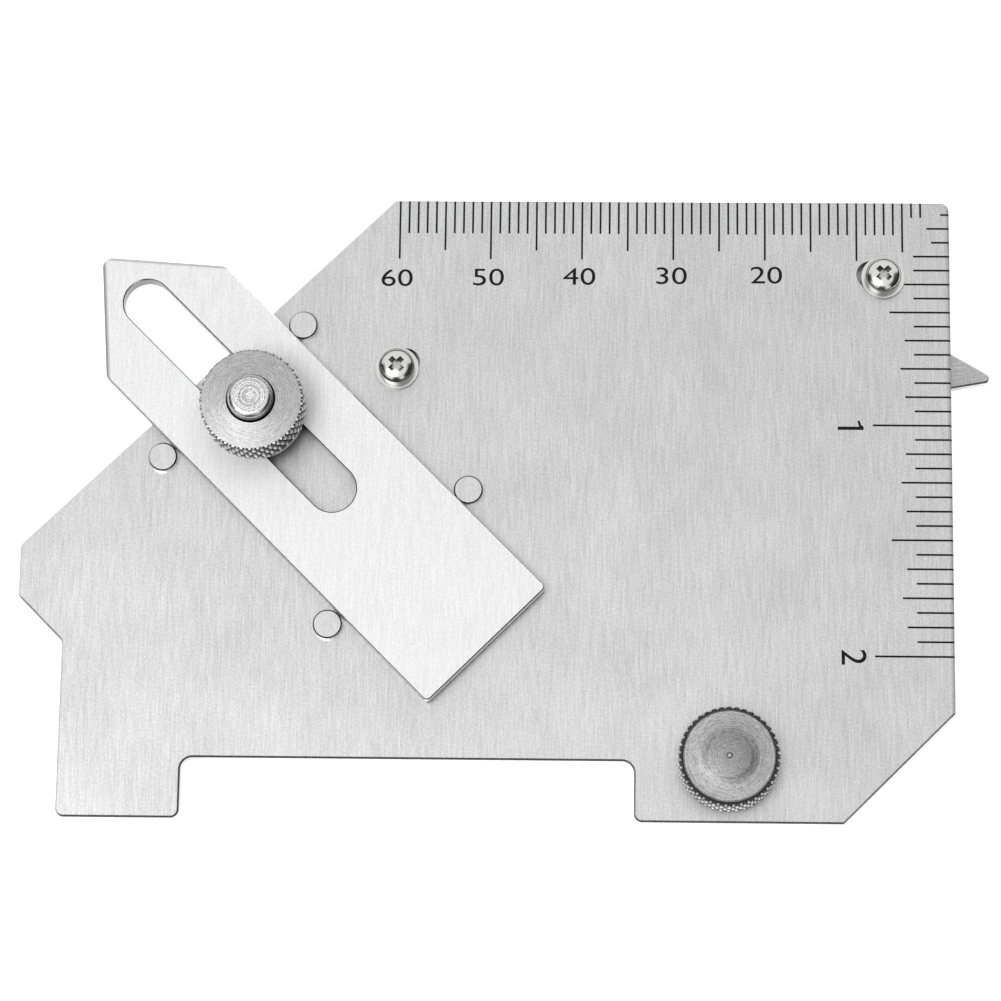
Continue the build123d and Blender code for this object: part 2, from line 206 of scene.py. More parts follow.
def add_node(tree, kind, inputs=(), **settings):
    """Add a node with these settings, and set or link its inputs, named or in their order.

    A node as a value links its first output, and a list as a value links all that it holds.
    """
    node = tree.nodes.new(kind)
    for name, value in settings.items():
        setattr(node, name, value)
    for socket, value in inputs.items() if isinstance(inputs, dict) else enumerate(inputs):
        for source in value if isinstance(value, list) else [value]:
            if isinstance(source, Node):
                source = source.outputs[0]
            if isinstance(source, NodeSocket):
                tree.links.new(source, node.inputs[socket])
            else:
                node.inputs[socket].default_value = source
    return node


def new_material(name):
    """An empty node material, and the function that adds nodes to it."""
    material = bpy.data.materials.new(name)
    material.use_nodes = True
    material.node_tree.nodes.clear()
    return material, partial(add_node, material.node_tree)


def dress(material, *nodes):
    """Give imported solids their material."""
    for node in nodes:
        solids[node].data.materials.clear()
        solids[node].data.materials.append(material)


def reach_of(node, direction):
    """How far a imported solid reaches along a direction."""
    return max(corner.co.dot(direction) for corner in solids[node].data.vertices)


def scene_object(name, data):
    """A new object of this data, in the scene's collection."""
    thing = bpy.data.objects.new(name, data)
    bpy.context.collection.objects.link(thing)
    return thing


def mesh_piece(name, points, faces, material):
    """A new piece from points and faces, with its place in its mesh."""
    mesh = bpy.data.meshes.new(name)
    mesh.from_pydata(points, [], faces)
    mesh.materials.append(material)
    return scene_object(name, mesh)


def prism_piece(name, lower, upper, material):
    """A new closed piece between two rings of points."""
    count = len(lower)
    sides = [(step, (step + 1) % count, (step + 1) % count + count, step + count)
             for step in range(count)]
    ends = [list(range(count))[::-1], list(range(count, 2 * count))]
    return mesh_piece(name, [*lower, *upper], ends + sides, material)


def smooth_faces(piece, sharp_angle):
    """Shade a piece smooth, apart from edges sharper than an angle in degrees."""
    piece.data.shade_smooth()
    piece.data.set_sharp_from_angle(angle=radians(sharp_angle))


def evaluated_mesh(piece):
    """The plain mesh that a piece's modifiers, or its text, come to."""
    graph = bpy.context.evaluated_depsgraph_get()
    return bpy.data.meshes.new_from_object(piece.evaluated_get(graph), depsgraph=graph)


def keep_evaluated(piece):
    """Replace a piece's mesh by what its modifiers make of it, and remove them."""
    mesh = evaluated_mesh(piece)
    piece.modifiers.clear()
    piece.data = mesh


def grow(piece, tree, values):
    """Run a geometry tree on a piece with these inputs and keep the result as a plain mesh."""
    modifier = piece.modifiers.new(tree.name, "NODES")
    modifier.node_group = tree
    for item in tree.interface.items_tree:
        if item.in_out == "INPUT" and item.name in values:
            modifier[item.identifier] = values[item.name]
    keep_evaluated(piece)


def geometry_tree(name, **sockets):
    """A geometry tree with named inputs of these kinds, its node function and its inputs."""
    tree = bpy.data.node_groups.new(name, "GeometryNodeTree")
    tree.interface.new_socket("Geometry", in_out="OUTPUT", socket_type="NodeSocketGeometry")
    for kind, labels in {"Geometry": ["Geometry"], **sockets}.items():
        for label in labels:
            tree.interface.new_socket(label, in_out="INPUT", socket_type="NodeSocket" + kind)
    add = partial(add_node, tree)
    return tree, add, add("NodeGroupInput").outputs


def marks_tree():
    """Geometry tree that lays one filled line, running over the sheet's edge, at each point."""
    tree, add, given = geometry_tree(
        "engraved marks", Float=["Line Width", "Ink Height", "Edge Break", "Edge Fall"],
        Material=["Ink"])
    length, turn = [
        add("GeometryNodeInputNamedAttribute", {"Name": name}, data_type="FLOAT")
        for name in ("length", "turn")]
    heading = add("ShaderNodeCombineXYZ", {"Z": turn})
    unit_box = add("GeometryNodeMeshCube", {"Size": (1, 1, 1)})
    line = add("GeometryNodeTransform", {"Geometry": unit_box, "Translation": (0, -0.5, 0)})
    line_size = add("ShaderNodeCombineXYZ", [given["Line Width"], length, given["Ink Height"]])
    lines = add("GeometryNodeInstanceOnPoints", {
        "Points": given["Geometry"], "Instance": line, "Rotation": heading, "Scale": line_size})

    slope = add("ShaderNodeMath", [given["Edge Fall"], given["Edge Break"]], operation="ARCTAN2")
    tilt = add("ShaderNodeCombineXYZ", [slope])
    run = add("ShaderNodeCombineXYZ", [given["Edge Break"], given["Edge Fall"]])
    slant = add("ShaderNodeVectorMath", [run], operation="LENGTH").outputs["Value"]
    half = add("ShaderNodeMath", [slant, 0.5], operation="MULTIPLY")
    end_size = add("ShaderNodeCombineXYZ", [given["Line Width"], slant, given["Ink Height"]])
    end_box = add("GeometryNodeMeshCube", {"Size": end_size})
    end_place = add("ShaderNodeCombineXYZ", {"Y": half})
    shifted = add("GeometryNodeTransform", {"Geometry": end_box, "Translation": end_place})
    tilted = add("GeometryNodeTransform", {"Geometry": shifted, "Rotation": tilt})
    ends = add("GeometryNodeInstanceOnPoints", {
        "Points": given["Geometry"], "Instance": tilted, "Rotation": heading})

    both = add("GeometryNodeJoinGeometry", {0: [lines, ends]})
    real = add("GeometryNodeRealizeInstances", {"Geometry": both})
    inked = add("GeometryNodeSetMaterial", {"Geometry": real, "Material": given["Ink"]})
    add("NodeGroupOutput", {"Geometry": inked})
    return tree


def cut_tree(name, wave):
    """Geometry tree that cuts a turned piece back to a root radius plus a wave's height.

    wave(add, angle, height, given) returns a node that is 0 at the bottom and 1 at the crest.
    """
    # The groove attribute is painted light: over 1 at the root, for painted shade in the valleys,
    # and below 0 on the crests, for a painted highlight
    shade_scale, shade_at_root = -2.1, 1.45
    tree, add, given = geometry_tree(
        name, Vector=["Centre"], Float=["Root Radius", "Depth", "Count", "Pitch", "Low", "High"],
        Material=["Metal"])
    position = add("GeometryNodeInputPosition")
    local = add("ShaderNodeVectorMath", [position, given["Centre"]], operation="SUBTRACT")
    x, y, z = add("ShaderNodeSeparateXYZ", [local]).outputs
    angle = add("ShaderNodeMath", [y, x], operation="ARCTAN2")
    flat = add("ShaderNodeCombineXYZ", [x, y])
    radius = add("ShaderNodeVectorMath", [flat], operation="LENGTH").outputs["Value"]
    crest = wave(add, angle, z, given)
    cut_radius = add("ShaderNodeMath", [
        crest, given["Depth"], given["Root Radius"]], operation="MULTIPLY_ADD")
    share = add("ShaderNodeMath", [cut_radius, radius], operation="DIVIDE")
    kept = add("ShaderNodeMath", [share, 1.0], operation="MINIMUM")
    scale = add("ShaderNodeCombineXYZ", [kept, kept, 1.0])
    placed = add("ShaderNodeVectorMath", [local, scale, given["Centre"]], operation="MULTIPLY_ADD")
    chosen = None
    for value, operation, limit in (
            (z, "GREATER_THAN", "Low"), (z, "LESS_THAN", "High"),
            (radius, "GREATER_THAN", "Root Radius")):
        test = add("FunctionNodeCompare", [value, given[limit]],
                   data_type="FLOAT", operation=operation)
        chosen = test if chosen is None else add(
            "FunctionNodeBooleanMath", [chosen, test], operation="AND")
    groove = add("ShaderNodeMath", [crest, shade_scale, shade_at_root], operation="MULTIPLY_ADD")
    marked = add("GeometryNodeStoreNamedAttribute", {
        "Geometry": given["Geometry"], "Selection": chosen, "Name": "groove", "Value": groove},
        data_type="FLOAT", domain="POINT")
    moved = add("GeometryNodeSetPosition", {
        "Geometry": marked, "Selection": chosen, "Position": placed})
    finished = add("GeometryNodeSetMaterial", {"Geometry": moved, "Material": given["Metal"]})
    add("NodeGroupOutput", {"Geometry": finished})
    return tree


def diamond_wave(add, angle, height, given):
    """Rounded beads between two families of grooves that cross at the knurl's slope."""
    teeth = add("ShaderNodeMath", [angle, given["Count"]], operation="MULTIPLY")
    column = add("ShaderNodeMath", [teeth, 1 / tau], operation="MULTIPLY")
    row = add("ShaderNodeMath", [height, given["Pitch"]], operation="DIVIDE")
    hills = []
    for operation in ("ADD", "SUBTRACT"):
        across = add("ShaderNodeMath", [column, row], operation=operation)
        hills.append(add("ShaderNodeMath", [across, 0.5], operation="PINGPONG"))
    lower = add("ShaderNodeMath", [hills[0], hills[1]], operation="MINIMUM")
    quarter_turn = add("ShaderNodeMath", [lower, pi], operation="MULTIPLY")
    return add("ShaderNodeMath", [quarter_turn], operation="SINE")


def thread_wave(add, angle, height, given):
    """One ridge that climbs a pitch a turn, with a flat crest and root."""
    root_end, crest_start = 0.1, 0.42
    turns = add("ShaderNodeMath", [angle, 1 / tau], operation="MULTIPLY")
    pitches = add("ShaderNodeMath", [height, given["Pitch"]], operation="DIVIDE")
    phase = add("ShaderNodeMath", [pitches, turns], operation="SUBTRACT")
    hill = add("ShaderNodeMath", [phase, 0.5], operation="PINGPONG")
    return add("ShaderNodeMapRange", {"Value": hill, "From Min": root_end, "From Max": crest_start})


def turned_piece(name, axis, profile, segments, material):
    """Spin a half profile of (radius, height) points about an upright axis.

    The profile runs up the outside of the metal. It closes at radius zero, or on itself round a
    bore. A point's third value, from 0 to 1, is how much painted shade it takes, as in a gap or
    groove.
    """
    points, rings, painted_shades = [], [], []
    for radius, height, *depth in profile:
        count = segments if radius > 0 else 1
        rings.append(range(len(points), len(points) + count))
        painted_shades += (depth or [0.0]) * count
        points += [
            (axis.x + radius * cos(tau * step / segments),
             axis.y + radius * sin(tau * step / segments), height)
            for step in range(count)
        ]
    pairs = list(zip(rings, rings[1:]))
    if profile[0][0] > 0:
        pairs.append((rings[-1], rings[0]))
    faces = []
    for lower, upper in pairs:
        for step in range(segments):
            after = (step + 1) % segments
            ring = [lower[step % len(lower)], lower[after % len(lower)],
                    upper[after % len(upper)], upper[step % len(upper)]]
            faces.append(list(dict.fromkeys(ring)))
    piece = mesh_piece(name, points, faces, material)
    piece.data.attributes.new("groove", "FLOAT", "POINT").data.foreach_set("value", painted_shades)
    return piece


def climb(radius, low, high, spacing):
    """Profile points up a straight wall, close enough together to be cut."""
    count = ceil((high - low) / spacing)
    return [(radius, low + (high - low) * step / count) for step in range(count + 1)]


def cut_thread(piece, axis, radius, depth, pitch, low, high, metal):
    """Cut a screw thread into a turned piece's wall between two heights."""
    tree = bpy.data.node_groups.get("screw thread") or cut_tree("screw thread", thread_wave)
    grow(piece, tree, {
        "Centre": axis, "Root Radius": radius - depth, "Depth": depth, "Count": 1.0,
        "Pitch": pitch, "Low": low, "High": high, "Metal": metal})


def cut_knurl(piece, axis, outer, teeth, low, high, metal):
    """Cut a diamond knurl into a turned piece's rim, alike above and below its middle."""
    turning = bpy.context.scene.weld_gauge.turning
    tree = bpy.data.node_groups.get("diamond knurl") or cut_tree("diamond knurl", diamond_wave)
    grow(piece, tree, {
        "Centre": Vector((axis.x, axis.y, (low + high) / 2)),
        "Root Radius": outer - turning.knurl_depth, "Depth": turning.knurl_depth,
        "Count": float(teeth), "Pitch": tau * outer / teeth * turning.knurl_slope,
        "Low": low - high, "High": high - low, "Metal": metal})


def cut_recess(screw, axis, top, material):
    """Cut a cross recess, of two tapered bars, into a screw's head."""
    floor_depth, above = 0.8 * mm, 0.3 * mm
    half_sizes = (0.5 * mm, 0.25 * mm), (1.15 * mm, 0.33 * mm)
    heights = top - floor_depth, top + above
    corners = ((-1, -1), (1, -1), (1, 1), (-1, 1))
    for turn in (pi / 4, 3 * pi / 4):
        level = Matrix.Rotation(turn, 3, "Z")
        rings = [
            [level @ Vector((x * length, y * width, 0)) + Vector((axis.x, axis.y, height))
             for x, y in corners]
            for (length, width), height in zip(half_sizes, heights)
        ]
        arm = prism_piece("recess_arm", *rings, material)
        cut = screw.modifiers.new("recess", "BOOLEAN")
        cut.object = arm
        cut.operation = "DIFFERENCE"
        cut.solver = "EXACT"
        cut.material_mode = "TRANSFER"
        keep_evaluated(screw)
        bpy.data.objects.remove(arm)


def uprightness(add, place):
    """How far a face looks up or down: 0 on an upright side, 1 on a level face."""
    facing = add("ShaderNodeSeparateXYZ", [place["Normal"]])
    return add("ShaderNodeMath", [facing.outputs["Z"]], operation="ABSOLUTE")


def metal_surface(add, code, tone, relief, relief_strength, relief_depth, **inputs):
    """End a metal's tree: its colour times a tone, and a pattern that stands a little proud."""
    colour = add("ShaderNodeVectorMath", [linear(code)[:3], tone], operation="MULTIPLY")
    bump = add("ShaderNodeBump", {
        "Height": relief, "Strength": relief_strength, "Distance": relief_depth})
    metal = add("ShaderNodeBsdfPrincipled", {
        "Base Color": colour, "Metallic": 1.0, "Normal": bump, **inputs})
    add("ShaderNodeOutputMaterial", {"Surface": metal})


def brushed_sheet(name, code, roughness, contrast, grain_turn=0.0, painted_edge_tone=0.85,
                  painted_side_tone=1.3, painted_end_line=None, shaded_edge_bands=()):
    """Stainless sheet, belt ground: straight hairlines over a finer mottle, and glossier sides.

    painted_edge_tone and painted_side_tone are painted light: the tones that make its broken edges
    and its cut sides lighter or darker. painted_end_line gives the direction and reach of an end
    face, and the height of a painted highlight line along its side, with painted shade above and
    below it. shaded_edge_bands gives the direction, the reach, the breadth and the tone of each
    edge that has a band of painted shade just inside it.
    """
    grain_width, grain_length = 0.12 * mm, 3.2 * mm
    mottle_width, mottle_share = 0.22 * mm, 0.45
    cloud_width, cloud_share, cloud_gloss = 9 * mm, 0.15, 0.04
    side_roughness = 0.25
    # The painted highlight line along the end face, and the painted shade beside it
    line_start, line_end, end_line_highlight, end_line_shade = 0.2 * mm, 0.4 * mm, 3.0, 0.08
    end_start, end_full, band_end = 0.4 * mm, 0.2 * mm, 0.1 * mm
    material, add = new_material(name)
    place = add("ShaderNodeTexCoord").outputs
    grain_place = add("ShaderNodeMapping", {
        "Vector": place["Object"], "Rotation": (0, 0, grain_turn),
        "Scale": (grain_width, grain_length, grain_width)}, vector_type="TEXTURE")
    grain = add("ShaderNodeTexNoise", {"Vector": grain_place, "Scale": 1.0, "Roughness": 0.6})
    mottle = add("ShaderNodeTexNoise", {
        "Vector": place["Object"], "Scale": 1 / mottle_width, "Detail": 1.0})
    cloud = add("ShaderNodeTexNoise", {"Vector": place["Object"], "Scale": 1 / cloud_width})
    fine = add("ShaderNodeMix", {0: mottle_share, 2: grain, 3: mottle})
    marked = add("ShaderNodeMix", {0: cloud_share, 2: fine, 3: cloud})
    shade = add("ShaderNodeMapRange", {
        "Value": marked, **noise_span, "To Min": 1 - contrast, "To Max": 1 + contrast})
    gloss = add("ShaderNodeMapRange", {
        "Value": cloud, "To Min": roughness - cloud_gloss, "To Max": roughness + cloud_gloss})
    side = painted_side_tone
    # Painted highlight: a bright line along the end face's side, with painted shade above and below
    # it
    if painted_end_line:
        direction, reach, line_height = painted_end_line
        spot = add("ShaderNodeSeparateXYZ", [place["Object"]])
        above_line = add("ShaderNodeMath", [spot.outputs["Z"], line_height], operation="SUBTRACT")
        off_line = add("ShaderNodeMath", [above_line], operation="ABSOLUTE")
        line = add("ShaderNodeMapRange", {
            "Value": off_line, "From Min": line_start, "From Max": line_end,
            "To Min": end_line_highlight, "To Max": end_line_shade})
        along = add("ShaderNodeVectorMath", [place["Object"], direction], operation="DOT_PRODUCT")
        at_end = add("ShaderNodeMapRange", {
            "Value": along.outputs["Value"],
            "From Min": reach - end_start, "From Max": reach - end_full})
        side = add("ShaderNodeMix", {0: at_end, 2: painted_side_tone, 3: line})
    # Painted light: broken edges and cut sides take their own tones, as painted highlight or
    # painted shade, by how upright their normal is
    upright = uprightness(add, place)
    edge = add("ShaderNodeMapRange", {
        "Value": upright, **edge_span, "To Min": side, "To Max": painted_edge_tone})
    flatness = add("ShaderNodeMapRange", {"Value": upright, **level_span})
    form = add("ShaderNodeMix", {0: flatness, 2: edge, 3: 1.0})
    tone = add("ShaderNodeMath", [shade, form], operation="MULTIPLY")
    # Painted shade: a darker band just inside each of these edges
    for direction, reach, breadth, band_shade in shaded_edge_bands:
        towards = add("ShaderNodeVectorMath", [place["Object"], direction], operation="DOT_PRODUCT")
        inside = add("ShaderNodeMapRange", {
            "Value": towards.outputs["Value"], "From Min": reach - breadth,
            "From Max": reach - band_end, "To Min": 1.0, "To Max": band_shade})
        tone = add("ShaderNodeMath", [tone, inside], operation="MULTIPLY")
    sheen = add("ShaderNodeMix", {0: flatness, 2: side_roughness, 3: gloss})
    metal_surface(add, code, tone, fine, 0.25, 0.004 * mm, Roughness=sheen)
    return material


def turned_metal(name, code, axis, roughness, contrast, ring_width=0.11 * mm, streak_share=0.6):
    """Steel faced on a lathe: fine rings about its axis, a grainy skin, painted shade in its gaps
    and grooves, and a painted highlight on its crests.
    """
    patch_width, patch_share = 0.14 * mm, 0.4
    streak_width, streaks_round = 0.12 * mm, 5.0
    # Painted shade where the groove value is high, and a painted highlight where it is below 0
    shade_from, shade_full, gap_shade_tone = 0.3, 0.7, 0.03
    crest_highlight_full, crest_highlight_tone = -0.35, 2.3
    material, add = new_material(name)
    place = add("ShaderNodeTexCoord").outputs
    local = add("ShaderNodeMapping", {"Vector": place["Object"], "Location": (-axis.x, -axis.y, 0)})
    flat = add("ShaderNodeVectorMath", [local, (1, 1, 0)], operation="MULTIPLY")
    radius = add("ShaderNodeVectorMath", [flat], operation="LENGTH").outputs["Value"]
    ring_count = add("ShaderNodeMath", [radius, 1 / ring_width], operation="MULTIPLY")
    rings = add("ShaderNodeTexNoise", {
        "W": ring_count, "Scale": 1.0, "Roughness": 0.6}, noise_dimensions="1D")
    patches = add("ShaderNodeTexNoise", {
        "Vector": place["Object"], "Scale": 1 / patch_width, "Roughness": 0.6})
    heading = add("ShaderNodeVectorMath", [flat], operation="NORMALIZE")
    height = add("ShaderNodeSeparateXYZ", [place["Object"]]).outputs["Z"]
    reach = add("ShaderNodeMath", [radius, height], operation="ADD")
    across = add("ShaderNodeMath", [reach, 1 / streak_width], operation="MULTIPLY")
    across_axis = add("ShaderNodeCombineXYZ", {"Z": across})
    streak_place = add("ShaderNodeVectorMath", [
        heading, (streaks_round, streaks_round, 0), across_axis], operation="MULTIPLY_ADD")
    streaks = add("ShaderNodeTexNoise", {"Vector": streak_place, "Scale": 1.0, "Roughness": 0.65})
    turned = add("ShaderNodeMix", {0: streak_share, 2: rings, 3: streaks})
    mixed = add("ShaderNodeMix", {0: patch_share, 2: turned, 3: patches})
    spread = add("ShaderNodeMapRange", {
        "Value": mixed, **noise_span, "To Min": 1 - contrast, "To Max": 1 + contrast})
    # Painted light: the groove attribute darkens gaps and valleys as painted shade and lightens
    # crests as a painted highlight
    groove = add("ShaderNodeAttribute", attribute_name="groove").outputs["Fac"]
    gap_shade = add("ShaderNodeMapRange", {
        "Value": groove, "From Min": shade_from, "From Max": shade_full,
        "To Min": 1.0, "To Max": gap_shade_tone})
    crest_highlight = add("ShaderNodeMapRange", {
        "Value": groove, "From Min": crest_highlight_full, "From Max": 0.0, "To Min": crest_highlight_tone})
    painted_light_tone = add("ShaderNodeMath", [gap_shade, crest_highlight], operation="MULTIPLY")
    tone = add("ShaderNodeMath", [spread, painted_light_tone], operation="MULTIPLY")
    tangent = add("ShaderNodeVectorMath", [(0, 0, 1), flat], operation="CROSS_PRODUCT")
    metal_surface(add, code, tone, mixed, 0.25, 0.01 * mm,
                  Roughness=roughness, Anisotropic=0.1, Tangent=tangent)
    return material


def plated_metal(name, code, roughness):
    """Bright nickel over steel: nearly a mirror, softened by fine pits, with its thin sides painted
    darker as painted shade.
    """
    pit_width, pit_spread, painted_side_tone = 0.15 * mm, 0.3, 0.2
    material, add = new_material(name)
    place = add("ShaderNodeTexCoord").outputs
    pits = add("ShaderNodeTexNoise", {"Vector": place["Object"], "Scale": 1 / pit_width})
    gloss = add("ShaderNodeMapRange", {
        "Value": pits, "To Min": roughness * (1 - pit_spread),
        "To Max": roughness * (1 + pit_spread)})
    # Painted shade: upright thin sides are painted darker
    rim = add("ShaderNodeMapRange", {
        "Value": uprightness(add, place), **edge_span, "To Min": painted_side_tone})
    metal_surface(add, code, rim, pits, 0.2, 0.003 * mm, Roughness=gloss)
    return material


def engraving_ink(code):
    """Black lacquer rubbed into the engraving: matt, a little uneven where it wore."""
    wear_width, wear_fade = 0.4 * mm, 3
    material, add = new_material("engraving_ink")
    wear = add("ShaderNodeTexNoise", {
        "Vector": add("ShaderNodeTexCoord").outputs["Object"],
        "Scale": 1 / wear_width, "Detail": 3.0})
    faded = (*[part * wear_fade for part in linear(code)[:3]], 1)
    shade = add("ShaderNodeMix", {0: wear, 6: linear(code), 7: faded}, data_type="RGBA")
    lacquer = add("ShaderNodeBsdfPrincipled", {
        "Base Color": shade.outputs[2], "Roughness": 0.7, "Specular IOR Level": 0.2})
    add("ShaderNodeOutputMaterial", {"Surface": lacquer})
    return material


def white_rays(add):
    """1 for the rays that see the surround white: the camera's, and in gloss and glass."""
    rays = add("ShaderNodeLightPath").outputs
    seen = add("ShaderNodeMath", [rays["Is Camera Ray"], rays["Is Glossy Ray"]], operation="ADD")
    return add("ShaderNodeMath", [
        seen, rays["Is Transmission Ray"]], operation="ADD", use_clamp=True)


def paper_floor(code):
    """White paper that the camera and the metal see as white, and that keeps the soft shadow."""
    glow_strength = 0.72
    material, add = new_material("white_paper")
    glow = add("ShaderNodeMath", [white_rays(add), glow_strength], operation="MULTIPLY")
    paper = add("ShaderNodeBsdfDiffuse", {"Color": linear(code)})
    light = add("ShaderNodeEmission", {"Strength": glow})
    lit = add("ShaderNodeAddShader", [paper, light])
    # The underside is clear, so that views from below see the part
    clear = add("ShaderNodeBsdfTransparent")
    one_sided = add("ShaderNodeMixShader", [
        add("ShaderNodeNewGeometry").outputs["Backfacing"], lit, clear])
    add("ShaderNodeOutputMaterial", {"Surface": one_sided})
    return material


def grey_card(code):
    """Matt card that the metal's edges reflect, so that they read against the white."""
    material, add = new_material("grey_card")
    card = add("ShaderNodeBsdfDiffuse", {"Color": linear(code)})
    add("ShaderNodeOutputMaterial", {"Surface": card})
    return material


def number_piece(name, text, height, place, turn, body, weight=0.0, breadth=1.0,
                 upside_down=False):
    """Plain digits of one height, centred on a place of a sheet and turned about it."""
    digit_share = 0.73  # of the font's size
    curve = bpy.data.curves.new(name, "FONT")
    curve.body = text
    curve.align_x = curve.align_y = "CENTER"
    curve.size = height / digit_share
    curve.offset = weight
    curve.extrude = bpy.context.scene.weld_gauge.marks.ink_height / 2
    writing = scene_object(name + "_text", curve)
    mesh = evaluated_mesh(writing)
    bpy.data.objects.remove(writing)
    flip = Matrix.Rotation(pi, 4, "Y") if upside_down else Matrix.Identity(4)
    widen = Matrix.Diagonal((breadth, 1, 1, 1))
    mesh.transform(Matrix.Translation(place) @ Matrix.Rotation(turn, 4, "Z") @ flip @ widen)
    mesh.materials.clear()
    mesh.materials.append(bpy.data.materials["engraving_ink"])
    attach(scene_object(name, mesh), body)


def one_piece(name, height, place, turn, body):
    """The digit 1 with a curved flag, centred on a place of a sheet and turned about it."""
    half_stroke, flag = 0.065 * height, 0.3 * height
    outline = [
        (half_stroke, -height / 2), (half_stroke, height / 2), (-half_stroke, height / 2),
        (-2 * half_stroke, 0.4 * height), (-flag, 0.36 * height), (-flag, 0.26 * height),
        (-2.2 * half_stroke, 0.3 * height), (-half_stroke, 0.33 * height),
        (-half_stroke, -height / 2)]
    half = bpy.context.scene.weld_gauge.marks.ink_height / 2
    level = Matrix.Translation(place) @ Matrix.Rotation(turn, 4, "Z")
    rings = [[level @ Vector((x, y, z)) for x, y in outline] for z in (-half, half)]
    piece = prism_piece(name, *rings, bpy.data.materials["engraving_ink"])
    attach(piece, body)


def mark_row(name, rows, edge_break, edge_fall, body):
    """Engraved lines from rows of (place, turn, length), as one piece on a body."""
    tree = bpy.data.node_groups.get("engraved marks") or marks_tree()
    marks = bpy.context.scene.weld_gauge.marks
    ink = bpy.data.materials["engraving_ink"]
    places, turns, lengths = zip(*rows)
    piece = mesh_piece(name, places, [], ink)
    for label, values in (("turn", turns), ("length", lengths)):
        attribute = piece.data.attributes.new(label, "FLOAT", "POINT")
        attribute.data.foreach_set("value", values)
    grow(piece, tree, {
        "Line Width": marks.line_width, "Ink Height": marks.ink_height,
        "Edge Break": edge_break, "Edge Fall": edge_fall, "Ink": ink})
    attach(piece, body)


def mark_length(number, lengths, beside_corner=()):
    """Length of a mark, from lengths in millimetres by what its number divides by.

    The marks beside the plate's corner have their own lengths.
    """
    if number in beside_corner:
        return beside_corner[number] * mm
    return next(length for every, length in lengths.items() if number % every == 0) * mm


class WELDGAUGE_OT_stage(Operator):
    """Set the floor, the surround, the lamp and the camera"""

    bl_idname = "weld_gauge.stage"
    bl_label = "Stage"

    def execute(self, context):
        studio = context.scene.weld_gauge.studio
        half = 1.5
        corners = ((-half, -half), (half, -half), (half, half), (-half, half))
        floor = mesh_piece(
            "floor", [(*corner, floor_height) for corner in corners], [(0, 1, 2, 3)],
            paper_floor(studio.floor))

        # A low card all round and three tall ones, for the dark streaks in the rounded metal
        card_radius, card_low, low_card, strip = 0.9, 0.0, 0.3, 5
        tall_cards = ((-50, 25, 1.3), (160, 200, 1.0), (250, 285, 1.1))
        card_height = {azimuth: low_card for azimuth in range(0, 360, strip)}
        for first, last, height in tall_cards:
            card_height.update({azimuth % 360: height for azimuth in range(first, last, strip)})
        card_points, card_faces = [], []
        for azimuth, height in card_height.items():
            first = len(card_points)
            card_points += [
                polar(card_radius, radians(turn), level)
                for level in (card_low, height) for turn in (azimuth, azimuth + strip)]
            card_faces.append((first, first + 1, first + 3, first + 2))
        card = mesh_piece("card", card_points, card_faces, grey_card(studio.card))
        card.visible_camera = card.visible_shadow = False

        lamp = bpy.data.lights.new("soft_box", "AREA")
        lamp.shape = "DISK"
        lamp.size = 0.5
        lamp.energy = studio.lamp_power
        stand = scene_object("soft_box", lamp)
        stand.location = (-0.3, -0.25, 0.85)
        stand.rotation_euler = (-stand.location).to_track_quat("-Z", "Y").to_euler()

        world = bpy.data.worlds.new("white_surround")
        context.scene.world = world
        world.use_nodes = True
        world.node_tree.nodes.clear()
        add = partial(add_node, world.node_tree)
        strength = add("ShaderNodeMapRange", {"Value": white_rays(add), "To Min": studio.daylight})
        sky = add("ShaderNodeBackground", {"Color": linear("#FFFFFF"), "Strength": strength})
        add("ShaderNodeOutputWorld", {"Surface": sky})

        lens = bpy.data.cameras.new("camera")
        lens.lens = studio.camera_lens
        lens.sensor_width = 36.0
        lens.clip_start = 0.01
        camera = scene_object("camera", lens)
        place, aim = Vector(studio.camera_place), Vector(studio.camera_aim)
        view = (aim - place).normalized()
        right = view.cross(Vector((0, 1, 0))).normalized()
        axes = Matrix((right, right.cross(view), -view)).transposed().to_4x4()
        roll = Matrix.Rotation(studio.camera_roll, 4, "Z")
        camera.matrix_world = Matrix.Translation(place) @ axes @ roll
        context.scene.camera = camera
        context.scene.view_settings.view_transform = "Standard"
        return {"FINISHED"}


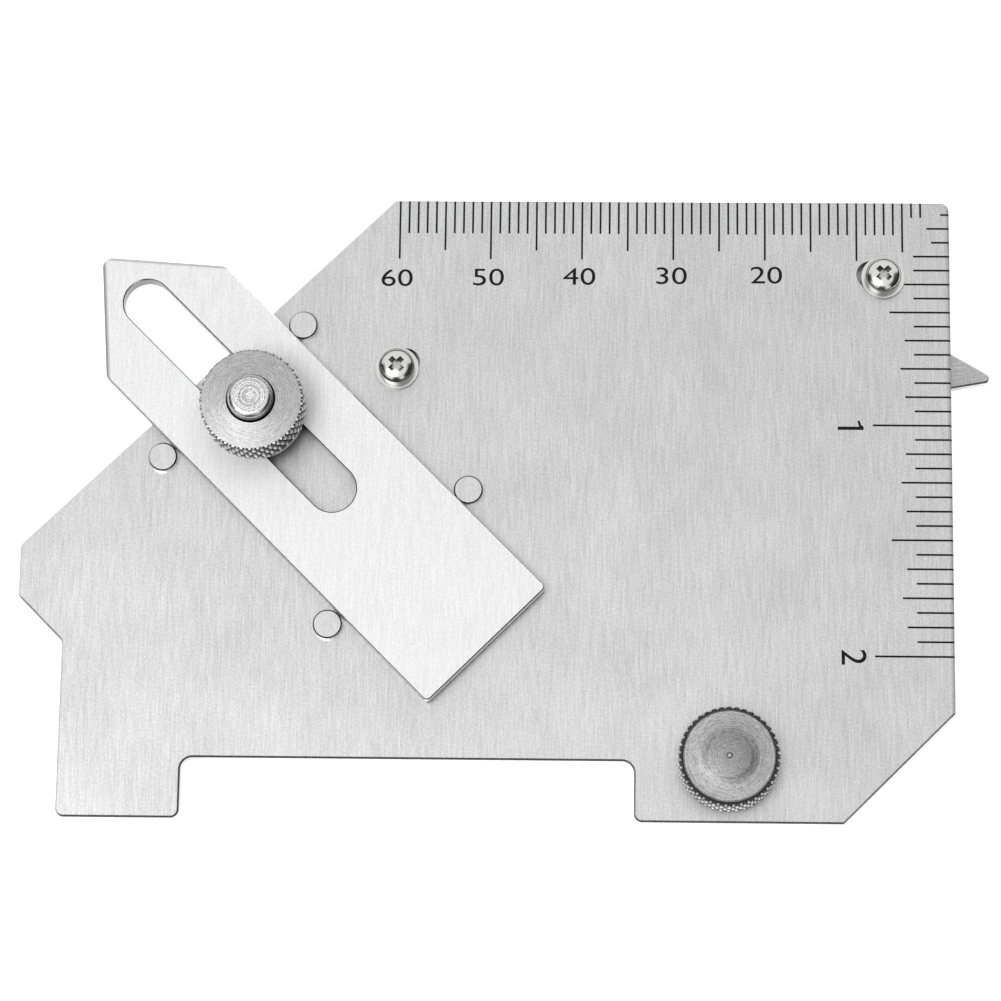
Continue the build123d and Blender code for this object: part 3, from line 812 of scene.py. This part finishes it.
class WELDGAUGE_OT_sheets(Operator):
    """Finish the plate, the slider, the ruler, the arc scale and the plain turned pieces"""

    bl_idname = "weld_gauge.sheets"
    bl_label = "Sheets and plain pieces"

    def execute(self, context):
        finishes = context.scene.weld_gauge.finishes
        # The plate's broken edges and sides take painted tones, with a band of painted shade inside
        # its +X and +Y edges
        dress(brushed_sheet(
            "satin_stainless_plate", finishes.plate, roughness=0.36, contrast=0.19,
            shaded_edge_bands=[
                (Vector((1, 0, 0)), plate_high.x, 0.5 * mm, 0.62),
                (Vector((0, 1, 0)), plate_high.y, 0.3 * mm, 0.72)]), "main_plate")

        # The slider's near end, with its painted highlight line and painted shade, and the two
        # upper edges of its point, with painted shade inside them. Its broken edges get a painted
        # highlight and its sides painted shade
        line_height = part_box("throat_slider")[0].z + 1.35 * mm
        near_end = Vector((1, -1, 0)).normalized()
        top_edge, left_edge = polar(1, radians(86)), polar(1, radians(184))
        dress(brushed_sheet(
            "satin_stainless_slider", finishes.slider, roughness=0.6, contrast=0.1,
            painted_edge_tone=1.1, painted_side_tone=0.2,
            painted_end_line=(near_end, reach_of("throat_slider", near_end), line_height),
            shaded_edge_bands=[
                (top_edge, reach_of("throat_slider", top_edge), 0.42 * mm, 0.5),
                (left_edge, reach_of("throat_slider", left_edge), 0.48 * mm, 0.3)]),
            "throat_slider")

        dress(brushed_sheet(
            "satin_stainless_ruler", finishes.ruler, roughness=0.34, contrast=0.3,
            grain_turn=radians(-80)), "multi_use_ruler", "arc_scale")
        # The pins' broken edges get painted shade and their sides a painted highlight
        dress(brushed_sheet(
            "ground_pin_steel", finishes.pins, roughness=0.36, contrast=0.14, painted_edge_tone=0.5,
            painted_side_tone=1.2), *[f"guide_pin_{number}" for number in range(1, 5)])
        dress(turned_metal("turned_washer_steel", finishes.turned, stud_axis, 0.3, 0.12),
              "clamp_washer")
        dress(turned_metal("turned_bush_steel", finishes.turned, pivot_axis, 0.3, 0.12),
              "pivot_bush", "pivot_washer")
        dress(plated_metal("bright_nickel", finishes.nickel, 0.2),
              *[f"arc_{kind}_{side}" for kind in ("washer", "lock_washer") for side in screw_axes])
        return {"FINISHED"}


class WELDGAUGE_OT_scales(Operator):
    """Engrave the millimetre and inch scales with their numbers"""

    bl_idname = "weld_gauge.scales"
    bl_label = "Edge scales"

    def execute(self, context):
        settings = context.scene.weld_gauge
        marks = settings.marks
        engraving_ink(settings.finishes.ink)
        face = plate_high.z
        long_zero = plate_high.x - 0.124 * mm
        short_zero = plate_high.y + 0.216 * mm
        start_y = plate_high.y - marks.edge_break
        start_x = plate_high.x - marks.edge_break

        millimetre_lengths = {10: 6.66, 5: 5.66, 1: 3.72}
        sixteenth_lengths = {16: 8.5, 8: 6.6, 4: 5.47, 2: 4.97, 1: 3.97}
        long_rows = [
            (Vector((long_zero - number * mm, start_y, face)), 0.0,
             mark_length(number, millimetre_lengths, {3: 1.71, 4: 1.71}) - marks.edge_break)
            for number in range(3, 61)
        ]
        short_corner = {1: 0.94, 2: 2.46, 3: 1.98, 4: 3.97}
        short_rows = [
            (Vector((start_x, short_zero - number * inch / 16, face)), -pi / 2,
             mark_length(number, sixteenth_lengths, short_corner) - marks.edge_break)
            for number in range(1, 33)
        ]
        for name, rows in (("millimetre_marks", long_rows), ("inch_marks", short_rows)):
            mark_row(name, rows, marks.edge_break, -marks.edge_break, "gauge_plate")

        # In millimetres: the row of numbers climbs a little towards the corner, and 20 is
        # engraved nearer to it. A hair off their weight keeps the 4 open
        row_drop, row_climb = 8.2, 0.0125
        for number in range(20, 61, 10):
            shift = 0.25 if number > 20 else -0.15
            place = Vector((long_zero - (number + shift) * mm,
                            plate_high.y - (row_drop + row_climb * number) * mm, face))
            number_piece(f"millimetres_{number}", str(number), marks.millimetre_digits, place,
                         0.0, "gauge_plate", weight=-0.002 * mm, breadth=marks.digit_breadth)

        column = plate_high.x - 10.9 * mm
        one_place = Vector((column, short_zero - inch - 0.34 * mm, face))
        two_place = Vector((column, short_zero - 2 * inch - 0.1 * mm, face))
        one_piece("inches_1", marks.inch_digits, one_place, -pi / 2, "gauge_plate")
        number_piece("inches_2", "2", marks.inch_digits, two_place, -pi / 2, "gauge_plate")
        return {"FINISHED"}


class WELDGAUGE_OT_clamp(Operator):
    """Turn the threaded stud and the knurled clamp nut"""

    bl_idname = "weld_gauge.clamp"
    bl_label = "Clamp stud and nut"

    def execute(self, context):
        settings = context.scene.weld_gauge
        turning = settings.turning
        steel = turned_metal(
            "turned_bright_steel", settings.finishes.turned, stud_axis, 0.4, 0.45)
        stud_steel = turned_metal(
            "cut_stud_steel", settings.finishes.stud, stud_axis, 0.28, 0.8,
            ring_width=0.2 * mm, streak_share=0.15)

        low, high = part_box("clamp_stud")
        radius, head_radius, head_edge = 2.5 * mm, (high.x - low.x) / 2, 0.35 * mm
        end_radius, end_round = 2.48 * mm, 0.75 * mm
        nut_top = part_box("clamp_nut")[1].z
        thread_high = nut_top - 0.5 * mm
        rounding = [pi * step / 16 for step in range(1, 9)]
        # The third values paint shade on the stud just inside the nut's mouth
        stud = turned_piece("threaded_clamp_stud", stud_axis, [
            (0, low.z), (head_radius - head_edge, low.z), (head_radius, low.z + head_edge),
            (head_radius, 0), (radius, 0),
            *climb(radius, plate_low.z + 0.01 * mm, thread_high, 0.06 * mm),
            (radius, nut_top - 0.3 * mm, 1.0), (end_radius, nut_top - 0.14 * mm, 1.0),
            (end_radius, nut_top - 0.06 * mm, 0.6), (end_radius, nut_top),
            (end_radius, high.z - end_round),
            *[(end_radius - end_round * (1 - cos(turn)), high.z - end_round * (1 - sin(turn)))
              for turn in rounding],
            (0.3 * mm, high.z), (0, high.z - 0.06 * mm)], 72, stud_steel)
        cut_thread(stud, stud_axis, radius, 0.45 * mm, turning.stud_pitch,
                   plate_high.z, thread_high - 0.02 * mm, stud_steel)
        smooth_faces(stud, 35)
        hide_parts("clamp_stud")
        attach(stud, "gauge_plate")

        low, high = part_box("clamp_nut")
        outer, bore = (high.x - low.x) / 2, 2.53 * mm
        edge, mouth, crown = 0.12 * mm, 0.14 * mm, 0.4 * mm
        rim = high.z - crown
        root = outer - turning.knurl_depth - 0.04 * mm
        # The third values paint shade in the nut's bore
        nut = turned_piece("knurled_clamp_nut", stud_axis, [
            (bore + mouth, low.z), (root, low.z), (outer - edge, low.z),
            *climb(outer, low.z + edge, rim - edge, 0.09 * mm),
            (outer - edge, rim), (root, rim + 0.03 * mm), (root - 0.1 * mm, rim + 0.04 * mm),
            (bore + mouth, high.z), (bore, high.z - mouth, 1.0), (bore, low.z + mouth, 1.0)],
            turning.nut_teeth * 8, steel)
        cut_knurl(nut, stud_axis, outer, turning.nut_teeth, low.z, high.z, steel)
        smooth_faces(nut, 30)
        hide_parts("clamp_nut")
        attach(nut, "nut")
        return {"FINISHED"}


class WELDGAUGE_OT_pivot_screw(Operator):
    """Turn the knurled pivot screw, with the low raised middle of its face and its nib"""

    bl_idname = "weld_gauge.pivot_screw"
    bl_label = "Knurled pivot screw"

    def execute(self, context):
        settings = context.scene.weld_gauge
        turning = settings.turning
        steel = turned_metal("dull_turned_steel", settings.finishes.knob, pivot_axis, 0.52, 0.55)
        low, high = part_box("pivot_screw")
        outer = (high.x - low.x) / 2
        thread_radius, end_chamfer = 2.0 * mm, 0.4 * mm
        knurl_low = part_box("pivot_washer")[1].z
        nib_rise = 0.08 * mm
        top = high.z - nib_rise
        knurl_high = knurl_low + 3.3 * mm
        neck, face = 4.55 * mm, 4.87 * mm
        edge, face_fall = 0.15 * mm, 0.36 * mm
        root = outer - turning.knurl_depth - 0.04 * mm
        boss_radius, shoulder_radius, shoulder_fall = 2.2 * mm, 3.2 * mm, 0.34 * mm
        nib_radius = 0.26 * mm
        # Painted shade, a little, on the raised middle and its falling shoulder
        shoulder = [
            (shoulder_radius + (boss_radius - shoulder_radius) * step / 6,
             top - shoulder_fall * (1 - (step / 6) ** 1.15), 0.3 + 0.015 * step)
            for step in range(7)
        ]
        # The third values paint shade in the groove under the face and round the nib
        screw = turned_piece("knurled_pivot_screw", pivot_axis, [
            (0, low.z), (thread_radius - end_chamfer, low.z),
            *climb(thread_radius, low.z + end_chamfer, knurl_low - 0.01 * mm, 0.07 * mm),
            (thread_radius, knurl_low), (root, knurl_low), (outer - edge, knurl_low),
            *climb(outer, knurl_low + edge, knurl_high - edge, 0.09 * mm),
            (outer - edge, knurl_high, 0.6), (root, knurl_high, 0.65), (neck, knurl_high, 0.72),
            (face, top - face_fall - 2 * edge, 1.0), (face, top - face_fall - edge),
            (face - edge, top - face_fall), *shoulder,
            (nib_radius + 0.12 * mm, top, 0.39), (nib_radius, top, 0.66),
            (nib_radius * 0.7, high.z - 0.02 * mm, 0.1), (0, high.z, 0.1)],
            turning.knob_teeth * 8, steel)
        cut_thread(screw, pivot_axis, thread_radius, 0.4 * mm, turning.pivot_pitch,
                   low.z + 0.05 * mm, knurl_low - 0.05 * mm, steel)
        cut_knurl(screw, pivot_axis, outer, turning.knob_teeth, knurl_low, knurl_high, steel)
        smooth_faces(screw, 30)
        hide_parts("pivot_screw")
        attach(screw, "pivot_knob")
        return {"FINISHED"}


class WELDGAUGE_OT_arc_screws(Operator):
    """Turn the two pan-head screws and cut their cross recesses"""

    bl_idname = "weld_gauge.arc_screws"
    bl_label = "Arc scale screws"

    def execute(self, context):
        settings = context.scene.weld_gauge
        nickel = bpy.data.materials["bright_nickel"]
        recess_nickel = plated_metal("dull_recess_nickel", settings.finishes.recess, 0.35)
        radius, end_chamfer, depth = 1.0 * mm, 0.2 * mm, 0.22 * mm
        crown, fullness, edge = 0.8 * mm, 0.85, 0.05 * mm
        for side, axis in screw_axes.items():
            low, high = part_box(f"arc_screw_{side}")
            head_radius = (high.x - low.x) / 2
            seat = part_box(f"arc_lock_washer_{side}")[1].z
            rim = high.z - crown
            dome = [(head_radius * cos(radians(step)) ** fullness,
                     rim + crown * sin(radians(step))) for step in range(5, 90, 5)]
            screw = turned_piece(f"pan_head_screw_{side}", axis, [
                (0, low.z), (radius - end_chamfer, low.z),
                *climb(radius, low.z + end_chamfer, seat - 0.01 * mm, 0.05 * mm),
                (radius, seat), (head_radius - edge, seat), (head_radius, seat + edge),
                (head_radius, rim), *dome, (0, high.z)], 64, nickel)
            cut_thread(screw, axis, radius, depth, settings.turning.screw_pitch,
                       low.z + 0.05 * mm, seat, nickel)
            cut_recess(screw, axis, high.z, recess_nickel)
            smooth_faces(screw, 32)
            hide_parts(f"arc_screw_{side}")
            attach(screw, "scale")
        return {"FINISHED"}


class WELDGAUGE_OT_back_marks(Operator):
    """Engrave the arc scale's graduation and the ruler's index line on the back"""

    bl_idname = "weld_gauge.back_marks"
    bl_label = "Back graduation"

    def execute(self, context):
        strip_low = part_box("arc_scale")[0].z
        strip_break = 0.18 * mm
        screw_circle = (screw_axes["right"] - pivot_axis).length
        inner = screw_circle - 3.55 * mm
        ruler_rim = inner - 0.45 * mm
        number_circle = inner + 4.3 * mm
        first, middle = 80, 90
        rows = []
        for number in range(0, 41):
            turn = radians(first + number)
            place = pivot_axis + polar(inner + strip_break, turn, strip_low)
            rows.append((place, turn + pi / 2, mark_length(number, {10: 2.6, 5: 2.0, 1: 1.4})))
            if number % 10 == 0:
                number_piece(
                    f"arc_number_{number}", str(number), 1.3 * mm,
                    pivot_axis + polar(number_circle, turn, strip_low), turn - pi / 2, "scale",
                    upside_down=True)
        mark_row("arc_marks", rows, strip_break, strip_break, "scale")

        turn = radians(middle)
        place = pivot_axis + polar(ruler_rim - strip_break, turn, strip_low)
        index = [(place, turn - pi / 2, 3.0 * mm)]
        mark_row("ruler_index", index, strip_break, strip_break, "ruler")
        return {"FINISHED"}


class WELDGAUGE_PT_panel(Panel):
    """Lists the gauge's settings and steps in the 3D view's sidebar"""

    bl_idname = "WELDGAUGE_PT_panel"
    bl_label = "Weld Gauge"
    bl_space_type = "VIEW_3D"
    bl_region_type = "UI"
    bl_category = "Weld Gauge"

    def draw(self, context):
        settings = context.scene.weld_gauge
        for group in (settings.studio, settings.finishes, settings.marks, settings.turning):
            box = self.layout.box()
            for name in group.bl_rna.properties.keys():
                if name not in ("rna_type", "name"):
                    box.prop(group, name)
        for step in steps:
            self.layout.operator(step.bl_idname)


groups = (GaugeMarks, GaugeTurning, GaugeFinishes, GaugeStudio, GaugeSettings)
steps = (
    WELDGAUGE_OT_stage,
    WELDGAUGE_OT_sheets,
    WELDGAUGE_OT_scales,
    WELDGAUGE_OT_clamp,
    WELDGAUGE_OT_pivot_screw,
    WELDGAUGE_OT_arc_screws,
    WELDGAUGE_OT_back_marks,
)


def register():
    """Register the settings, the operators and the panel."""
    for kind in (*groups, *steps, WELDGAUGE_PT_panel):
        bpy.utils.register_class(kind)
    bpy.types.Scene.weld_gauge = PointerProperty(type=GaugeSettings)


def unregister():
    """Take the settings, the operators and the panel away again."""
    del bpy.types.Scene.weld_gauge
    for kind in (WELDGAUGE_PT_panel, *reversed(steps), *reversed(groups)):
        bpy.utils.unregister_class(kind)


def main():
    """Dress the gauge step by step."""
    register()
    for step in steps:
        family, action = step.bl_idname.split(".")
        getattr(getattr(bpy.ops, family), action)()


if __name__ == "__main__":
    main()
